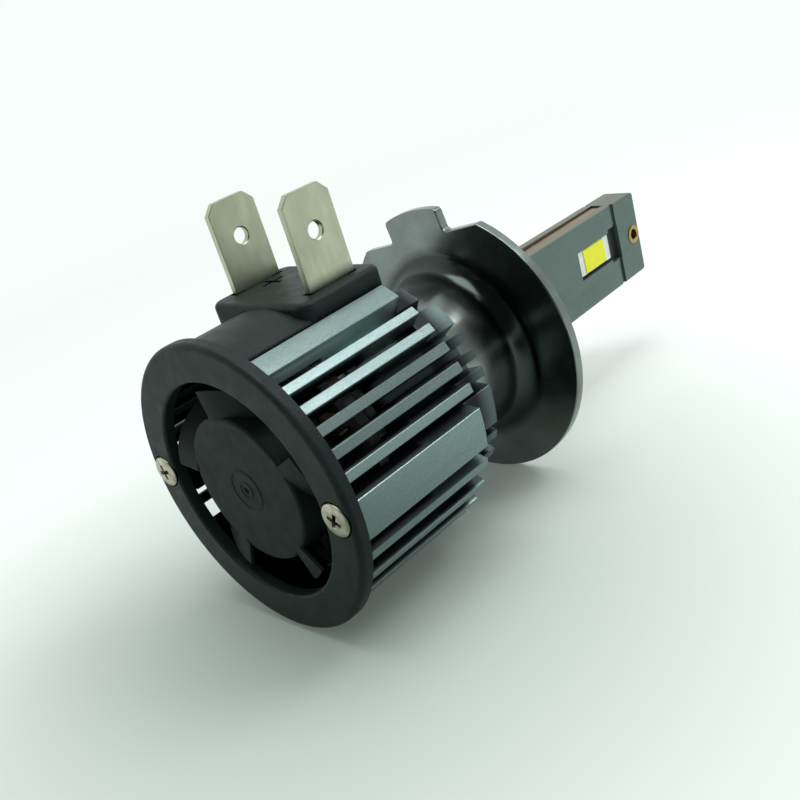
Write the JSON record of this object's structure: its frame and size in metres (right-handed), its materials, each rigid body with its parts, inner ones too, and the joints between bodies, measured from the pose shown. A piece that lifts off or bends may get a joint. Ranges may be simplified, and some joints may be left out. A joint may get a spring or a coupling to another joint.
{
  "type": "headlight bulb",
  "caption": "LED headlight bulb: flat stick with LEDs on its faces, steel seating flange with a lug, finned heat sink, cooling fan under a cover and spade terminals.",
  "frame": {"origin": "centre of the flange's front face, the plane that seats in the lamp", "axes": "+X along the bulb's axis towards the LED tip, +Z towards the spade terminals"},
  "size_m": [0.0729, 0.0336, 0.0428],
  "materials": {
    "anodised_aluminium": "gunmetal anodised, satin",
    "black_moulding": "fine spark-eroded texture",
    "fan_moulding": "matt moulded",
    "nickel_screw": "nickel plated",
    "tinned_brass": "tin plated, satin",
    "polished_steel": "turned and polished",
    "grey_anodised_plate": "grey anodised, matt",
    "copper_core": "bare copper",
    "white_ceramic": "white",
    "yellow_phosphor": "yellow silicone",
    "brass_rivet": "plain",
    "board_laminate": "solder mask",
    "chip_moulding": "moulded",
    "capacitor_ceramic": "plain",
    "ferrite_can": "plain",
    "lead_insulation": "plain",
    "supply_insulation": "plain",
    "motor_steel": "plain",
    "bonded_magnet": "plain",
    "shaft_steel": "ground",
    "clip_plastic": "plain",
    "sintered_bronze": "sintered",
    "enamelled_copper": "enamelled"
  },
  "bodies": {
    "root": {"heat_sink": "anodised_aluminium", "fan_cover": "black_moulding", "cover_screw_near": "nickel_screw", "cover_screw_far": "nickel_screw", "terminal_near": "tinned_brass", "terminal_far": "tinned_brass", "supply_lead_near": "supply_insulation", "supply_lead_far": "supply_insulation", "collar": "polished_steel", "driver_board": "board_laminate", "inductor": "ferrite_can", "controller_chip": "chip_moulding", "input_capacitor": "capacitor_ceramic", "output_capacitor": "capacitor_ceramic", "rectifier_diode": "chip_moulding", "fan_lead_1": "lead_insulation", "fan_lead_2": "lead_insulation", "led_lead_near": "lead_insulation", "led_lead_far": "lead_insulation", "led_carrier": "copper_core", "side_plate_near": "grey_anodised_plate", "side_plate_far": "grey_anodised_plate", "led_near": "white_ceramic", "led_far": "white_ceramic", "phosphor_near": "yellow_phosphor", "phosphor_far": "yellow_phosphor", "tip_rivet": "brass_rivet", "fan_base": "fan_moulding", "fan_bearing": "sintered_bronze", "motor_board": "board_laminate", "stator_core": "motor_steel", "coil_1": "enamelled_copper", "coil_2": "enamelled_copper", "coil_3": "enamelled_copper", "coil_4": "enamelled_copper"},
    "fan_rotor": {"impeller": "fan_moulding", "rotor_yoke": "motor_steel", "magnet_ring": "bonded_magnet", "fan_shaft": "shaft_steel", "shaft_clip": "clip_plastic"}
  },
  "joints": [
    {"name": "fan_spin", "type": "hinge", "parent": "root", "child": "fan_rotor", "pos_m": [-0.03, 0, 0], "axis": [1, 0, 0], "continuous": true}
  ]
}
